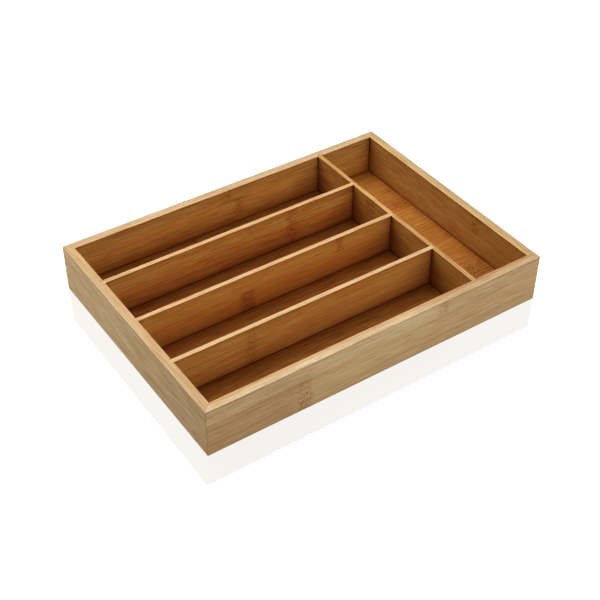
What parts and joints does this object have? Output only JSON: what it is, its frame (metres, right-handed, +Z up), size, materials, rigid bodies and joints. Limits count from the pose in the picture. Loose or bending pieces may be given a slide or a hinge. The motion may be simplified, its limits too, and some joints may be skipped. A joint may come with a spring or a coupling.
{
  "type": "cutlery tray",
  "caption": "Open bamboo tray for a drawer: mitred walls, long side-by-side compartments for cutlery and one crosswise compartment at the end.",
  "frame": {"origin": "centre of the tray's footprint, on the surface it stands on", "axes": "+Z up; X along the long side, with the crosswise compartment at +X; Y across, with the front wall at -Y"},
  "size_m": [0.35, 0.2524, 0.0488],
  "materials": {
    "bamboo_wall": "satin lacquer over caramel bamboo",
    "bamboo_divider": "satin lacquer over caramel bamboo",
    "bamboo_panel": "satin lacquer over streaked carbonised bamboo"
  },
  "bodies": {
    "root": {"front_wall": "bamboo_wall", "back_wall": "bamboo_wall", "left_wall": "bamboo_wall", "right_wall": "bamboo_wall", "bottom_panel": "bamboo_panel", "cross_divider": "bamboo_divider", "long_divider_front": "bamboo_divider", "long_divider_middle": "bamboo_divider", "long_divider_back": "bamboo_divider"}
  },
  "joints": []
}
